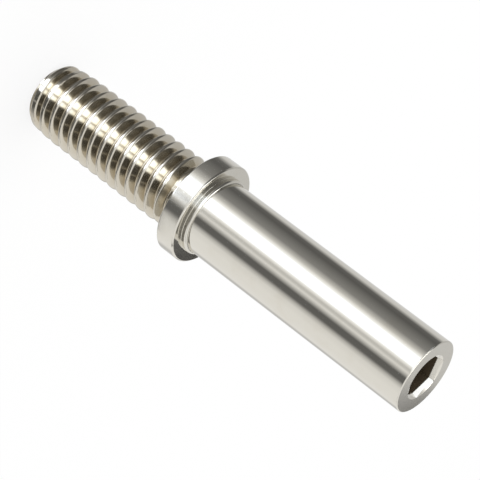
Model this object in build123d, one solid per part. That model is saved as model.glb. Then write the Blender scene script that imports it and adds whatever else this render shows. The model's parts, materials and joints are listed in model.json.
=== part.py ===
from build123d import *
import os
from math import ceil, cos, pi, radians, sqrt, tan

# Shoulder bolt: one piece, turned from bar. A threaded stud, a collar that seats on the
# fixed part, a low step ring, a long ground shank that a moving part turns on, and a
# hexagon socket in the end of the shank. Millimetres.
# Origin: centre of the collar's seat face. +Z runs up the shank, the stud hangs below.

# Shank
shank_dia = 6.0
shank_length = 20.1
shank_edge = 0.06  # chamfer round the socket end

# Step ring between collar and shank: it keeps the moving part off the collar's face
ring_step = 0.2  # how far it stands out from the shank
ring_height = 0.45
ring_edge = 0.16  # radius of its outer edge

# Collar
collar_lip = 1.1  # how far it stands out from the shank
collar_height = 1.65
collar_bevel = 0.1  # shank side
seat_bevel = 0.1  # thread side

# Threaded stud: right-hand M6 x 1, 60 degree form with a rolled crest
thread_dia = 5.8
thread_pitch = 1.0
flank_angle = 30.0  # from the plane across the bolt
thread_depth = 0.6134 * thread_pitch
crest_flat = thread_pitch / 8
stud_length = 15.2
lead_taper_length = 2.4  # the first turns rise gently to the full diameter
lead_taper = 0.2  # how much smaller the radius is where they begin
neck_length = 1.1  # clear of thread, under the collar
seat_margin = 0.01  # the neck flares at 45 degrees until it is this far outside the crests
groove_lead_in = 0.6  # pitches that the groove starts below the end face
groove_run_out = 0.22  # pitches that it runs on into the neck
root_clearance = 0.04  # neck and end face lie this far inside the thread's root

# Hexagon socket, broached over a drilled hole
socket_flats = 3.0
socket_depth = 3.4
mouth_bevel = 0.14  # the round countersink stands this far outside the hexagon's corners
drill_margin = 0.05  # the drilled hole is this much smaller across than the flats
drill_extra_depth = 0.7
drill_point_angle = 118.0

# Worked out from the sizes above
shank_r = shank_dia / 2
ring_r = shank_r + ring_step
collar_r = shank_r + collar_lip
thread_r = thread_dia / 2
root_r = thread_r - thread_depth
neck_r = root_r - root_clearance
lead_r = thread_r - lead_taper
seat_inner_r = thread_r + seat_margin
ring_top = collar_height + ring_height
shank_top = ring_top + shank_length
flank_rise = tan(radians(flank_angle))
corner_r = socket_flats / sqrt(3)
mouth_r = corner_r + mouth_bevel
drill_r = (socket_flats - drill_margin) / 2


def turned_blank():
    """The bolt as it leaves the lathe, before the thread is cut and the socket made."""
    neck_end = -neck_length
    full_dia = neck_end - (thread_r - neck_r) * flank_rise
    bend = ring_edge * (1 - cos(pi / 4))
    outline = [
        Line((0, -stud_length), (neck_r, -stud_length)),
        Line((neck_r, -stud_length), (lead_r, -stud_length + lead_r - neck_r)),
        Line((lead_r, -stud_length + lead_r - neck_r), (thread_r, -stud_length + lead_taper_length)),
        Line((thread_r, -stud_length + lead_taper_length), (thread_r, full_dia)),
        Line((thread_r, full_dia), (neck_r, neck_end)),
        Line((neck_r, neck_end), (neck_r, neck_r - seat_inner_r)),
        Line((neck_r, neck_r - seat_inner_r), (seat_inner_r, 0)),
        Line((seat_inner_r, 0), (collar_r - seat_bevel, 0)),
        Line((collar_r - seat_bevel, 0), (collar_r, seat_bevel)),
        Line((collar_r, seat_bevel), (collar_r, collar_height - collar_bevel)),
        Line((collar_r, collar_height - collar_bevel), (collar_r - collar_bevel, collar_height)),
        Line((collar_r - collar_bevel, collar_height), (ring_r, collar_height)),
        Line((ring_r, collar_height), (ring_r, ring_top - ring_edge)),
        ThreePointArc(
            (ring_r, ring_top - ring_edge),
            (ring_r - bend, ring_top - bend),
            (ring_r - ring_edge, ring_top),
        ),
        Line((ring_r - ring_edge, ring_top), (shank_r, ring_top)),
        Line((shank_r, ring_top), (shank_r, shank_top - shank_edge)),
        Line((shank_r, shank_top - shank_edge), (shank_r - shank_edge, shank_top)),
        Line((shank_r - shank_edge, shank_top), (0, shank_top)),
        Line((0, shank_top), (0, -stud_length)),
    ]
    section = Plane.XZ * make_face(outline)
    return revolve(section, Axis.Z)


def thread_groove():
    """The space between the thread's ridges, as cutters of one turn each, end to end.

    They start below the end face and run out in the neck, so both ends are open to air.
    """
    overlap = 0.05 * thread_pitch
    outer_r = thread_r + overlap
    half_root = (thread_pitch - crest_flat) / 2 - thread_depth * flank_rise
    half_mouth = half_root + (thread_depth + overlap) * flank_rise
    start = -stud_length - groove_lead_in * thread_pitch
    end = -neck_length + groove_run_out * thread_pitch
    cutters = []
    for turn in range(ceil((end - start) / thread_pitch)):
        z = start + turn * thread_pitch
        rise = min(thread_pitch, end - z)
        section = Polyline(
            (root_r, z - half_root),
            (outer_r, z - half_mouth),
            (outer_r, z + half_mouth),
            (root_r, z + half_root),
            close=True,
        )
        path = Pos(0, 0, z) * Helix(thread_pitch, rise, root_r)
        cutters.append(sweep(Plane.XZ * make_face(section), path, is_frenet=True))
    return cutters


def socket():
    """Hexagon with two corners on the Y axis, its countersunk mouth and the drilled hole."""
    hexagon = RegularPolygon(corner_r, 6, rotation=30)
    broached = Pos(0, 0, shank_top - socket_depth) * extrude(hexagon, socket_depth)
    drill_floor = shank_top - socket_depth - drill_extra_depth
    drill_tip = drill_r / tan(radians(drill_point_angle / 2))
    bore_outline = Polyline(
        (0, shank_top),
        (drill_r, shank_top),
        (drill_r, drill_floor),
        (0, drill_floor - drill_tip),
        close=True,
    )
    mouth_outline = Polyline((0, shank_top), (mouth_r, shank_top), (0, shank_top - mouth_r), close=True)
    bore = revolve(Plane.XZ * make_face(bore_outline), Axis.Z)
    mouth = revolve(Plane.XZ * make_face(mouth_outline), Axis.Z)
    return broached + bore + mouth


bolt = turned_blank() - thread_groove() - socket()

os.makedirs("parts", exist_ok=True)
export_step(bolt, "parts/shoulder_bolt.step")
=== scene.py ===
# %% [markdown]
# # A shoulder bolt in polished steel
#
# The real bolt is turned from one bar: a threaded stud, a collar, a low step ring and a long
# ground shank with a hexagon socket in its end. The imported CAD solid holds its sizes. This
# lesson builds a finer skin round the same sizes, gives each machined surface its own
# finish, and lights it as a product photographer lights bright metal: with cards.

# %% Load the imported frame
import json
from math import atan2, cos, pi, radians, sin, sqrt, tan

import bmesh
import bpy
import numpy as np
from mathutils import Matrix, Vector


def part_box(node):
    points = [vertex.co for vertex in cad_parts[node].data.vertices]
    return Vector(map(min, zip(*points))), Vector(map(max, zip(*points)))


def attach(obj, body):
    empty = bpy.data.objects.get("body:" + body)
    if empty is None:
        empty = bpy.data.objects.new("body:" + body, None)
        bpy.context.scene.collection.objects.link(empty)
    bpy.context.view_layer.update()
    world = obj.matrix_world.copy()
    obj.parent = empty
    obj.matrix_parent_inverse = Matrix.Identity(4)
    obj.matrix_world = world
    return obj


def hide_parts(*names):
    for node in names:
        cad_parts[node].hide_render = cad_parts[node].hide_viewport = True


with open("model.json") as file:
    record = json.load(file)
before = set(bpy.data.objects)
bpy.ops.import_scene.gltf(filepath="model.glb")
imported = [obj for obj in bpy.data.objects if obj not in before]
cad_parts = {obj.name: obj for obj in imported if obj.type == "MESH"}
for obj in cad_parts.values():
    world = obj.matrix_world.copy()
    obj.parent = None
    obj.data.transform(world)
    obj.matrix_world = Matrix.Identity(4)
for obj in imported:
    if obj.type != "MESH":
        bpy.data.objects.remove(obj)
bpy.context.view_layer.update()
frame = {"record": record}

# %% [markdown]
# ## Sizes
#
# The frame knows the outer box and the sizes of the shank, the thread and the socket, because
# they are mounts. The small steps and bevels in between are written here once, in
# millimetres, and everything else is worked out from them.

# %% Sizes of the bolt
MM = 0.001
NODE = "shoulder_bolt"
low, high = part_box(NODE)
mounts = {mount["name"]: mount for mount in frame["record"]["mounts"]}

foot = low[2] / MM
top = high[2] / MM
collar_r = high[0] / MM
shank_r = mounts["shank"]["dims"]["r_mm"]
thread_r = mounts["thread"]["dims"]["r_mm"]
socket_depth = mounts["hex_socket"]["dims"]["length_mm"]

collar_height = 1.65
collar_bevel = 0.1
ring_height = 0.45
ring_step = 0.2  # how far the ring stands out from the shank
shank_edge = 0.06
seat_margin = 0.01  # the neck flares until it is this far outside the crests
seat_inner_r = thread_r + seat_margin

pitch = 1.0
thread_depth = 0.6134 * pitch
root_clearance = 0.04  # the neck lies this far inside the thread's root
root_r = thread_r - thread_depth
neck_r = root_r - root_clearance
neck_end = -1.1
thread_top = neck_end + 0.1  # the thread's own rows of points begin here
lead_taper = 0.2  # how much smaller the radius is where the first turns begin
lead_r = thread_r - lead_taper
lead_length = 2.4
flank_rise = tan(radians(30))

socket_flats = 3.0
mouth_bevel = 0.14  # how far the countersink stands outside the hexagon's corners
mouth_r = socket_flats / sqrt(3) + mouth_bevel
mouth_slope = tan(radians(20))  # of the shallow countersink
lead_in_depth = 0.4  # the broach starts wider and narrows to its size over this depth
lead_in_slope = tan(radians(20))
drill_margin = 0.05  # the drilled hole is this much smaller across than the flats
drill_r = (socket_flats - drill_margin) / 2
drill_depth = socket_depth + 0.7
drill_point_angle = 118

ring_r = shank_r + ring_step
ring_top = collar_height + ring_height
print(f"shank {2 * shank_r} mm across, collar {2 * collar_r:.1f} mm, overall {top - foot:.1f} mm")

# %% [markdown]
# ## Profile
#
# A turned part is its profile spun round an axis. No edge of a real one is perfectly sharp:
# each has a tiny round that catches the light, so the profile is a list of corners with a
# radius, and a helper turns each corner into a short arc. A point a little way before and
# after each arc keeps the flat faces flat when the shading is smooth.

# %% Corners into arcs
ARC_STEPS = 5
SUPPORT = 0.02  # how far before and after an arc its supporting points lie

# Radii of the rounded edges
shank_round = 0.05
inner_round = 0.02  # where a wall meets the flat face below it
ring_round = 0.17
collar_round = 0.06
seat_round = 0.05
neck_round = 0.2


def arc_points(before, corner, after, radius, steps=ARC_STEPS):
    """The points that replace a corner by an arc touching both of its sides."""
    before, corner, after = (np.array(point, float) for point in (before, corner, after))
    back = (before - corner) / np.linalg.norm(before - corner)
    ahead = (after - corner) / np.linalg.norm(after - corner)
    half = np.arccos(np.clip(back @ ahead, -1, 1)) / 2
    reach = radius / tan(half)
    middle = (back + ahead) / np.linalg.norm(back + ahead)
    centre = corner + middle * radius / sin(half)
    start = atan2(*(corner + back * reach - centre)[::-1])
    end = atan2(*(corner + ahead * reach - centre)[::-1])
    turn = (end - start + pi) % (2 * pi) - pi
    arc = [
        centre + radius * np.array((cos(start + turn * k / steps), sin(start + turn * k / steps)))
        for k in range(steps + 1)
    ]
    return [corner + back * (reach + SUPPORT), *arc, corner + ahead * (reach + SUPPORT)]


def rounded(corners):
    """Turns (radius from the axis, height, edge radius) corners into a smooth profile."""
    points = [np.array(corners[0][:2])]
    for before, corner, after in zip(corners, corners[1:], corners[2:]):
        if corner[2]:
            points += arc_points(before[:2], corner[:2], after[:2], corner[2])
        else:
            points.append(np.array(corner[:2]))
    return points + [np.array(corners[-1][:2])]


outer_profile = rounded([
    (mouth_r, top, 0),
    (shank_r - shank_edge, top, shank_round),
    (shank_r, top - shank_edge, shank_round),
    (shank_r, ring_top, inner_round),
    (ring_r, ring_top, ring_round),
    (ring_r, collar_height, inner_round),
    (collar_r - collar_bevel, collar_height, collar_round),
    (collar_r, collar_height - collar_bevel, collar_round),
    (collar_r, collar_bevel, collar_round),
    (collar_r - collar_bevel, 0, collar_round),
    (seat_inner_r, 0, seat_round),
    (neck_r, neck_r - seat_inner_r, neck_round),
    (neck_r, thread_top, 0),
])
print(len(outer_profile), "points from the mouth of the socket to the neck")

# %% [markdown]
# ## Thread
#
# A thread can be swept along a helix, or read off a formula: at each angle the ridge is the
# same section, only higher up. The section here is the real one, 60 degrees between the
# flanks, a round at the crest and a bigger round at the root. The blank under it tapers at
# both ends, so the first turns rise gently and the last ones fade into the neck. The rows
# of the mesh follow the helix too, which keeps the crests crisp with few faces.

# %% Thread section and rows
crest_round = 0.16
half_root_flat = pitch / 2 - (thread_depth + crest_round) * flank_rise
root_round = half_root_flat / flank_rise
shoulder_round = 0.1  # where the blank's tapers meet its full width
run_out_round = 0.12
blank = np.array(rounded([
    (neck_r, foot, 0),
    (lead_r, foot + lead_r - neck_r, shoulder_round),
    (thread_r, foot + lead_length, 0),
    (thread_r, neck_end - (thread_r - neck_r) * flank_rise, shoulder_round),
    (neck_r, neck_end, run_out_round),
    (neck_r, thread_top + 0.1, 0),
]))
crest_at_x = -0.3  # height of a crest on the +X side
EDGE_BLEND = 0.03  # the blank and the thread meet in a round about this big


def thread_section(away):
    """Radius of the thread at a distance along the bolt from the middle of a crest."""
    away = np.abs((away + pitch / 2) % pitch - pitch / 2)
    to_root = pitch / 2 - away
    flank = thread_r + crest_round - away / flank_rise
    crest = thread_r - crest_round + np.sqrt(np.maximum(crest_round**2 - away**2, 0))
    root = root_r + root_round - np.sqrt(np.maximum(root_round**2 - to_root**2, 0))
    tangent = cos(radians(30))
    below_crest = np.where(to_root < root_round * tangent, root, flank)
    return np.where(away < crest_round * tangent, crest, below_crest)


def smaller(a, b, blend):
    """The smaller of two surfaces, with the corner between them rounded."""
    share = np.clip(0.5 + 0.5 * (b - a) / blend, 0, 1)
    return b + (a - b) * share - blend * share * (1 - share)


# Rows lie at even angles on the two rounds, and at these shares of the flank's length
FLANK_SHARES = (0.04, 0.25, 0.5, 0.75, 0.96)
crest_rows = [crest_round * sin(radians(angle)) for angle in (60, 40, 20, 0, -20, -40, -60)]
root_rows = [-pitch / 2 + root_round * sin(radians(angle)) for angle in (60, 30, 0, -30, -60)]
flank_length = crest_rows[-1] - root_rows[0]
lower_flank = [crest_rows[-1] - flank_length * share for share in FLANK_SHARES]
upper_flank = [-pitch - row for row in reversed(lower_flank)]
section_rows = crest_rows + lower_flank + root_rows + upper_flank
print(len(section_rows), "rows in each turn of the thread")

# %% [markdown]
# ## One skin
#
# All of it, from the point of the drilled hole out over the shank and down to the stud's
# end, is one grid of points: rings down the bolt, columns round it. The hexagon is a ring
# whose radius changes with the angle, and where its corners fall on columns they stay
# sharp. Points that coincide are merged, which closes the skin.

# %% Build the skin
COLUMNS = 240
FACE_SUPPORT = 0.02  # an extra ring this far from an edge keeps the face beside it flat
MERGE_DISTANCE = 2e-7  # in metres
SHARP_ANGLE = radians(14)  # socket edges that turn more than this stay sharp
angles = np.linspace(0, 2 * pi, COLUMNS + 1)
corner_share = 1 / np.cos((angles + pi / 6) % (pi / 3) - pi / 6)  # of a hexagon with corners on Y
ones = np.ones_like(angles)
rings = []


def add_ring(radius, height):
    """Adds one ring; radius and height are numbers, or one number for each column."""
    radius = radius * ones
    height = height * ones
    rings.append(np.stack([radius * np.cos(angles), radius * np.sin(angles), height], axis=1))


drill_tip = drill_r / tan(radians(drill_point_angle / 2))
add_ring(0, top - drill_depth - drill_tip)
add_ring(drill_r, top - drill_depth)
add_ring(drill_r, top - socket_depth)
wall_depths = (socket_depth, 0.75 * socket_depth, 0.5 * socket_depth)
for depth in (*wall_depths, lead_in_depth + FACE_SUPPORT, lead_in_depth):
    add_ring(socket_flats / 2 * corner_share, top - depth)
widest = (socket_flats / 2 + lead_in_depth * lead_in_slope) * corner_share
meets_cone = (mouth_r - widest) / (1 / mouth_slope - lead_in_slope * corner_share)
meets_wall = (widest - mouth_r) / (lead_in_slope * corner_share)
lip_depth = np.where(widest < mouth_r, meets_cone, meets_wall)
add_ring(np.minimum(widest - lip_depth * lead_in_slope * corner_share, mouth_r), top - lip_depth)
for radius, height in outer_profile:
    add_ring(radius, height)

crest_height = crest_at_x + pitch * angles / (2 * pi)
first_turn = int(np.ceil((thread_top - crest_at_x) / pitch)) + 1
last_turn = int(np.floor((foot - crest_at_x) / pitch)) - 2
for turn in range(first_turn, last_turn, -1):
    for row in section_rows:
        height = np.clip(crest_height + turn * pitch + row, foot, thread_top)
        blank_r = np.interp(height, blank[:, 1], blank[:, 0])
        add_ring(smaller(thread_section(height - crest_height), blank_r, EDGE_BLEND), height)
add_ring(neck_r, foot)
add_ring(neck_r - FACE_SUPPORT, foot)
add_ring(0, foot)

points = np.concatenate(rings) * MM
grid = np.arange(len(points)).reshape(len(rings), COLUMNS + 1)
corners = [grid[:-1, :-1], grid[1:, :-1], grid[1:, 1:], grid[:-1, 1:]]
quads = np.stack(corners, axis=-1).reshape(-1, 4)
skin = bpy.data.meshes.new("turned_bolt")
skin.from_pydata(points.tolist(), [], quads.tolist())
work = bmesh.new()
work.from_mesh(skin)
bmesh.ops.remove_doubles(work, verts=work.verts, dist=MERGE_DISTANCE)
bmesh.ops.recalc_face_normals(work, faces=work.faces)
for face in work.faces:
    face.smooth = True
for edge in work.edges:
    inside = max(Vector(v.co[:2]).length for v in edge.verts) < (mouth_r + 0.01) * MM
    if inside and edge.verts[0].co.z > 0 and len(edge.link_faces) == 2:
        edge.smooth = edge.calc_face_angle() < SHARP_ANGLE
print("open edges:", sum(len(edge.link_faces) != 2 for edge in work.edges))
print("volume:", round(work.calc_volume() / MM**3, 1), "mm3")
print("triangles:", sum(len(face.verts) - 2 for face in work.faces))
work.to_mesh(skin)
work.free()
bolt = bpy.data.objects.new("turned_bolt", skin)
bpy.context.scene.collection.objects.link(bolt)
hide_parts(NODE)
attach(bolt, "root")

# %% [markdown]
# ## Shader helpers
#
# Shader maths reads best as plain expressions. A small class wraps a socket, so that
# `1 - mask` or `noise * 0.2` adds the Math nodes by itself, and one method makes any other
# node from its type, its settings and its inputs.

# %% A socket in Python expressions
class Value:
    """A number that varies over the surface: the output socket of a node."""

    def __init__(self, shader, socket):
        self.shader = shader
        self.socket = socket

    def maths(self, operation, *inputs, clamp=False):
        settings = {"operation": operation, "use_clamp": clamp}
        return self.shader.add("Math", settings, dict(enumerate(inputs)))

    def __add__(self, other):
        return self.maths("ADD", self, other)

    def __sub__(self, other):
        return self.maths("SUBTRACT", self, other)

    def __rsub__(self, other):
        return self.maths("SUBTRACT", other, self)

    def __mul__(self, other):
        return self.maths("MULTIPLY", self, other)

    def __truediv__(self, other):
        return self.maths("DIVIDE", self, other)

    __radd__ = __add__
    __rmul__ = __mul__

    def clamped(self):
        return self.maths("ADD", self, 0, clamp=True)

    def root(self):
        return self.maths("SQRT", self)


class Shader:
    """The nodes of one material or world."""

    def __init__(self, owner):
        owner.use_nodes = True
        self.owner = owner
        self.tree = owner.node_tree
        self.tree.nodes.clear()

    def add(self, kind, settings=None, inputs=None, output=0):
        """Makes a ShaderNode of this kind with its settings and inputs, and returns an output."""
        node = self.tree.nodes.new("ShaderNode" + kind)
        for name, setting in (settings or {}).items():
            setattr(node, name, setting)
        for name, value in (inputs or {}).items():
            if isinstance(value, Value):
                self.tree.links.new(value.socket, node.inputs[name])
            else:
                node.inputs[name].default_value = value
        return Value(self, node.outputs[output])

    def mix(self, share, first, second):
        """The first colour where the share is 0, the second where it is 1."""
        return self.add("Mix", {"data_type": "RGBA"}, {0: share, 6: first, 7: second}, 2)

    def out(self, shader, kind="OutputMaterial"):
        node = self.tree.nodes.new("ShaderNode" + kind)
        self.tree.links.new(shader.socket, node.inputs["Surface"])
        return self.owner


print("helpers ready")

# %% [markdown]
# ## Camera
#
# The bolt stands on its stud and the camera looks down on it, rolled so that the bolt lies
# across the picture with its socket towards the lower right. A long lens keeps its sides
# nearly parallel.

# %% Camera
ELEVATION = 24.5
AZIMUTH = -4.3  # from straight in front, so that a corner of the hexagon shows a little left
ROLL = 37.2
LENS = 180.3
COLLAR_IN_VIEW = (-2.056, 1.808, 174.8)  # millimetres right, up and ahead of the camera

sideways = Vector((cos(radians(AZIMUTH)), sin(radians(AZIMUTH)), 0))
to_camera = Vector((
    sin(radians(AZIMUTH)) * cos(radians(ELEVATION)),
    -cos(radians(AZIMUTH)) * cos(radians(ELEVATION)),
    sin(radians(ELEVATION)),
))
upright = to_camera.cross(sideways)
right = upright * cos(radians(ROLL)) - sideways * sin(radians(ROLL))
up = -sideways * cos(radians(ROLL)) - upright * sin(radians(ROLL))
collar_centre = Vector((0, 0, collar_height))
across, above, ahead = COLLAR_IN_VIEW
eye = (collar_centre - right * across - up * above + to_camera * ahead) * MM

camera_data = bpy.data.cameras.new("camera")
camera_data.sensor_width = 36  # millimetres, as LENS is
camera_data.lens = LENS
camera_data.clip_start = 0.001
camera_data.clip_end = 10
camera = bpy.data.objects.new("camera", camera_data)
camera.matrix_world = Matrix.Translation(eye) @ Matrix((right, up, to_camera)).transposed().to_4x4()
bpy.context.scene.collection.objects.link(camera)
bpy.context.scene.camera = camera
print("camera at", [round(c / MM, 1) for c in eye], "mm")

# %% [markdown]
# ## Steel
#
# Bright steel has hardly any colour of its own: it shows what stands round it, a little
# warmer and darker than it is. What tells one machined surface from the next is its
# roughness, its finest lines and its tone. Every finish gets the same three layers: tool
# lines round the axis, a cloudy film left by handling, and a brown tint that grows towards
# the axis of the bolt, used in the roots of the thread. Down the socket, below its lip, the
# steel is painted dark and dull: painted shade in place of the shadow in the hole.

# %% Steel finishes
STEEL = (0.69, 0.665, 0.60, 1)
BROWN_TINT = (0.50, 0.43, 0.31, 1)
# Painted shade: the dark colour the deep socket gets in place of its shadow
SOCKET_SHADE = (0.10, 0.075, 0.045, 1)

LINE_LEAN = 0.7  # lets one pattern of lines run along the walls as well as across the faces
CLOUD_SCALE = 0.5 / MM
SPECK_SCALE = 6.0 / MM
SPECK_LEVEL = 0.68  # only the noise above this is a speck
SPECK_CONTRAST = 12
FILM = 0.03  # how much roughness the cloudy film adds or takes
BROWN_TINT_STRENGTH = 0.75
BROWN_TINT_CLOUDS = 0.5  # how much the clouds break the tint up
SOCKET_SHADE_FADE = 0.06  # millimetres
SOCKET_SHADE_ROUGHNESS = 0.35
SOCKET_SHADE_SHEEN = 0.1  # what is left of the metal where the painted shade is full
NO_ROOT_TINT = (-2, -3)  # radii that no point has, so only the clouds tint the steel


def steel(name, roughness, line_spacing, line_height, tint_radii=NO_ROOT_TINT, speckle=0.12, shade_from=None):
    """Bright turned steel. A brown tint grows between two radii, both in millimetres.

    Line spacing and height are in millimetres too. Below the last height, where one
    is given, the steel is painted dark and dull: painted shade for the depth of the socket.
    """
    shader = Shader(bpy.data.materials.new(name))
    place = shader.add("TexCoord", None, None, "Object")
    x, y, z = (shader.add("SeparateXYZ", None, {0: place}, axis) for axis in range(3))
    radius = (x * x + y * y).root()

    along = (radius + z * LINE_LEAN) / (line_spacing * MM)
    line_noise = {"W": along, "Scale": 1.0, "Detail": 2.0}
    lines = shader.add("TexNoise", {"noise_dimensions": "1D"}, line_noise)
    relief = {"Height": lines, "Distance": line_height * MM, "Strength": 1.0}
    bump = shader.add("Bump", None, relief)

    cloud_noise = {"Vector": place, "Scale": CLOUD_SCALE, "Detail": 4.0, "Roughness": 0.6}
    clouds = shader.add("TexNoise", None, cloud_noise)
    specks = shader.add("TexNoise", None, {"Vector": place, "Scale": SPECK_SCALE, "Detail": 2.0})
    dust = ((specks - SPECK_LEVEL) * SPECK_CONTRAST).clamped()
    rough = roughness + (clouds - 0.5) * FILM * 2 + dust * speckle

    tint_from, tint_to = tint_radii
    depth = ((tint_from * MM - radius) / ((tint_from - tint_to) * MM)).clamped()
    tinted = (depth * BROWN_TINT_STRENGTH + (clouds - 0.5) * BROWN_TINT_CLOUDS).clamped()
    colour = shader.mix(tinted, STEEL, BROWN_TINT)
    inputs = {"Base Color": colour, "Metallic": 1.0, "Roughness": rough.clamped(), "Normal": bump}
    # Painted shade: below the socket's lip the steel turns dark, dull and hardly metallic, standing
    # in for the shadow deep in the hole
    if shade_from is not None:
        painted_shade = ((shade_from * MM - z) / (SOCKET_SHADE_FADE * MM)).clamped()
        inputs["Base Color"] = shader.mix(painted_shade, colour, SOCKET_SHADE)
        inputs["Metallic"] = 1 - painted_shade * (1 - SOCKET_SHADE_SHEEN)
        inputs["Roughness"] = (rough + painted_shade * SOCKET_SHADE_ROUGHNESS).clamped()
    return shader.out(shader.add("BsdfPrincipled", None, inputs))


finishes = [
    steel("ground_shank", 0.07, 0.3, 0.0001),
    steel("turned_collar", 0.12, 0.15, 0.0003),
    # The thread turns browner and darker towards its roots
    steel("rolled_thread", 0.12, 0.2, 0.0002, tint_radii=(thread_r + 0.4, root_r)),
    # The socket gets painted shade below its lip
    steel("broached_socket", 0.16, 0.3, 0.00001, speckle=0, shade_from=top - lead_in_depth),
]
for finish in finishes:
    skin.materials.append(finish)
SHANK, COLLAR, THREAD, SOCKET = range(4)
NEAR = 0.01  # millimetres
for polygon in skin.polygons:
    centre = Vector(polygon.center) / MM
    radius = Vector(centre[:2]).length
    on_end_face = centre.z > top - shank_edge - NEAR and radius > mouth_r - NEAR
    if centre.z < -NEAR:
        polygon.material_index = THREAD
    elif centre.z < ring_top + 0.001 or on_end_face:
        polygon.material_index = COLLAR
    elif radius < shank_r - NEAR:
        polygon.material_index = SOCKET
    else:
        polygon.material_index = SHANK
print("finishes:", [finish.name for finish in finishes])

# %% [markdown]
# ## Floor, world and lamp
#
# The floor is white paper: to the camera most of its white is its own, so the bolt's shadow
# stays, but pale. The world is white to the camera and to the metal, and gentler as a
# light, and one soft lamp from above adds the rest.

# %% Floor and light
FLOOR_HALF = 0.6  # metres
OWN_WHITE = 0.85  # how much of the floor's white is its own to the camera
ROOM_LIGHT = 0.65  # strength of the white room as a light
WHITE = (1, 1, 1, 1)
PAPER = (0.8, 0.8, 0.8, 1)

floor_mesh = bpy.data.meshes.new("floor")
floor_corners = [
    (x * FLOOR_HALF, y * FLOOR_HALF, 0) for x, y in ((-1, -1), (1, -1), (1, 1), (-1, 1))
]
floor_mesh.from_pydata(floor_corners, [], [(0, 1, 2, 3)])
floor = bpy.data.objects.new("floor", floor_mesh)
floor.location.z = foot * MM
floor.visible_glossy = False
bpy.context.scene.collection.objects.link(floor)
paper = Shader(bpy.data.materials.new("floor_paper"))
seen = paper.add("LightPath", None, None, "Is Camera Ray")
lit = paper.add("BsdfDiffuse", None, {"Color": paper.mix(seen, PAPER, WHITE)})
own = paper.add("Emission", None, {"Color": WHITE, "Strength": 1.0})
both = paper.add("MixShader", None, {0: seen * OWN_WHITE, 1: lit, 2: own})
floor_mesh.materials.append(paper.out(both))

world = bpy.data.worlds.new("studio")
bpy.context.scene.world = world
room = Shader(world)
camera_ray = room.add("LightPath", None, None, "Is Camera Ray")
glossy_ray = room.add("LightPath", None, None, "Is Glossy Ray")
through_ray = room.add("LightPath", None, None, "Is Transmission Ray")
shown = (camera_ray + glossy_ray + through_ray).clamped()
light = room.add("Background", None, {"Color": WHITE, "Strength": ROOM_LIGHT})
backdrop = room.add("Background", None, {"Color": WHITE, "Strength": 1.0})
room.out(room.add("MixShader", None, {0: shown, 1: light, 2: backdrop}), "OutputWorld")

lamp_data = bpy.data.lights.new("soft_lamp", "AREA")
lamp_data.shape = "DISK"
lamp_data.size = 0.3
lamp_data.energy = 0.7
lamp = bpy.data.objects.new("soft_lamp", lamp_data)
lamp.location = (-0.05, 0.08, 0.4)
lamp.rotation_euler = (-lamp.location).to_track_quat("-Z", "Y").to_euler()
bpy.context.scene.collection.objects.link(lamp)
bpy.context.scene.view_settings.view_transform = "Standard"
print("floor at", round(foot, 2), "mm")

# %% [markdown]
# ## Cards
#
# Polished metal is a mirror, so its look is the look of what stands round it. Curved cards
# stand round the bolt, each painted dark and light in turn along its length. They show in
# the metal alone, and throw no light or shadow. A tone of 1 is white paper, and a
# brighter card is a lamp, a little bluer than paper. Azimuths are in degrees to the right
# of the camera's side, so 180 is right behind the bolt.

# %% Card helpers
COOL_WHITE = (0.84, 0.94, 1.12, 1)
COOL_RANGE = 1.5  # a card this much brighter than white has the full cool colour
PLACE_STEP = 1.5  # degrees between two columns of a card


def around(azimuth, height, distance):
    """A point round the bolt: azimuth in degrees, height and distance in millimetres."""
    turn = radians(azimuth + AZIMUTH)
    return (distance * sin(turn) * MM, -distance * cos(turn) * MM, height * MM)


card_paint = Shader(bpy.data.materials.new("card_paint"))
card_tone = card_paint.add("Attribute", {"attribute_name": "tone"}, None, "Fac")
card_colour = card_paint.mix(((card_tone - 1) / COOL_RANGE).clamped(), WHITE, COOL_WHITE)
scaling = {0: card_colour, "Scale": card_tone}
card_light = card_paint.add("VectorMath", {"operation": "SCALE"}, scaling)
card_glow = card_paint.out(card_paint.add("Emission", None, {"Color": card_light, "Strength": 1.0}))
card_glow.cycles.emission_sampling = "NONE"


def curved_card(name, stops, profile, turns=None, fading=False):
    """A card swept round the bolt along a profile of (distance, height) points.

    Its tone runs evenly between stops of (azimuth, tone). Turns, in degrees, turn each row
    of it a little further, so that it leans. With fading, its last row is white, so that
    the card has no edge against the white room above it.
    """
    first, last = stops[0][0], stops[-1][0]
    places = np.linspace(first, last, max(2, round((last - first) / PLACE_STEP)) + 1)
    rows = len(profile)
    turns = turns or [0] * rows
    corners = [
        around(place + turn, height, distance)
        for place in places for (distance, height), turn in zip(profile, turns)
    ]
    faces = [
        (rows * k + row, rows * (k + 1) + row, rows * (k + 1) + row + 1, rows * k + row + 1)
        for k in range(len(places) - 1) for row in range(rows - 1)
    ]
    mesh = bpy.data.meshes.new(name)
    mesh.from_pydata(corners, [], faces)
    tones = np.repeat(np.interp(places, *zip(*stops)), rows)
    if fading:
        tones[rows - 1::rows] = 1
    shades = mesh.attributes.new("tone", "FLOAT", "POINT")
    shades.data.foreach_set("value", tones)
    mesh.materials.append(card_glow)
    obj = bpy.data.objects.new(name, mesh)
    obj.visible_camera = False
    obj.visible_diffuse = False
    obj.visible_shadow = False
    obj.visible_transmission = False
    bpy.context.scene.collection.objects.link(obj)
    print(name, "from", first, "to", last, "degrees")


# %% [markdown]
# ## Bands down the shank and the thread
#
# The ring card goes all the way round and draws the long bands down the shank and the
# collar. Its rows are turned a little, so that the bands lean. The low card carries on under
# it, almost to the axis, for the flanks of the thread that look down. The window and
# shade cards stand a little nearer and much taller, for the bright band down the
# middle and the dark one on its left. The groove card is close in and makes the small
# light in each groove of the thread.

# %% Ring, low, window, shade and groove cards
RING_DISTANCE = 110
SHADE_DISTANCE = 109
WINDOW_DISTANCE = 108
RING_FOOT = -56
CARD_FOOT = -9

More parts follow.
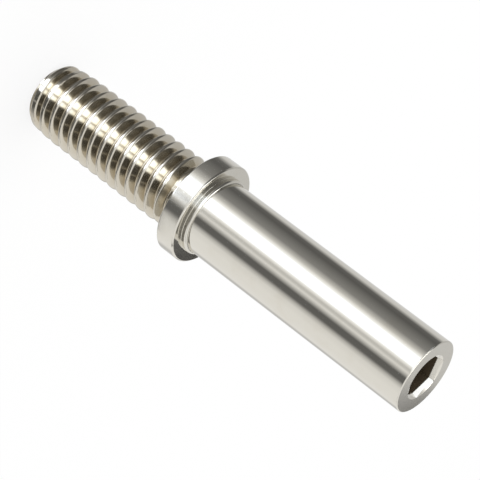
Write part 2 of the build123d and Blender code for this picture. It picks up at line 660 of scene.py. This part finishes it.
ring_left = [
    (-180, 0.8), (-132, 0.75), (-114, 0.16), (-98, 0.13),
    (-60, 0.31), (-46, 0.72), (-36, 1.35), (-28, 2.2),
]
ring_right = [
    (-7, 2.2), (-1, 1.25), (8, 0.68), (13, 0.78), (17, 0.98), (22, 0.7), (32, 0.15),
    (47, 0.16), (56, 0.62), (66, 0.92), (85, 1.0), (135, 1.0), (150, 0.6), (180, 0.8),
]
ring_profile = [(RING_DISTANCE, RING_FOOT), (RING_DISTANCE, CARD_FOOT), (RING_DISTANCE, 30)]
curved_card("ring_card", ring_left + ring_right, ring_profile, turns=(-4.5, 3, 3), fading=True)

low_left = [(-180, 0.6), (-118, 0.5), (-106, 0.12), (-52, 0.16), (-36, 0.5), (-29, 5)]
low_right = [
    (-9, 5), (-6, 1.2), (-1, 1.2), (1, 4), (12, 4), (17, 0.15),
    (68, 0.12), (92, 0.45), (115, 0.8), (180, 0.7),
]
curved_card("low_card", low_left + low_right, [(RING_DISTANCE, RING_FOOT), (90, -120), (0, -150)])

window = [(-30, 0.9), (-24, 2.0), (2, 2.0), (14, 0.9)]
curved_card("window_card", window, [(WINDOW_DISTANCE, CARD_FOOT), (WINDOW_DISTANCE, 170)])

shade = [(-180, 0.7), (-118, 0.6), (-106, 0.12), (-60, 0.15), (-38, 0.5)]
curved_card("shade_card", shade, [(SHADE_DISTANCE, CARD_FOOT), (SHADE_DISTANCE, 160)])

groove = [
    (17, 0.12), (50, 0.12), (51.5, 0.6), (53.5, 0.6), (55.5, 0.12), (72, 0.12), (96, 0.5),
]
curved_card("groove_card", groove, [(25, -10.8), (25, -40)])

# %% [markdown]
# ## Faces and socket
#
# The front card is a grey arc, high up, that shows in the round edge of the ring. Two small
# cards close to the mouth light the flats of the socket, one on each side. The last two
# stand behind the bolt, above the ring card, where the collar's face and the end face mirror
# them: each runs from dark to light, so a face is shaded from one side to the other.

# %% Front, socket and face cards
FACE_DISTANCE = 111
SOCKET_PROFILE = [(20, 27), (20, 37)]

front = [(-140, 0.6), (-80, 0.2), (40, 0.15), (120, 0.15)]
curved_card("front_card", front, [(WINDOW_DISTANCE, 46), (WINDOW_DISTANCE, 60)])
curved_card("socket_left_card", [(-80, 1.7), (-40, 1.7)], SOCKET_PROFILE)
curved_card("socket_right_card", [(40, 0.95), (80, 0.95)], SOCKET_PROFILE)

collar_face = [(171, 0.04), (178.6, 0.05), (180.2, 0.4), (182.6, 0.95), (189, 0.95)]
curved_card("collar_face_card", collar_face, [(FACE_DISTANCE, 40), (FACE_DISTANCE, 60)])
end_face = [(172, 0.42), (177.5, 0.5), (181, 1.0), (188, 1.05)]
curved_card("end_face_card", end_face, [(FACE_DISTANCE, 60), (FACE_DISTANCE, 80)])
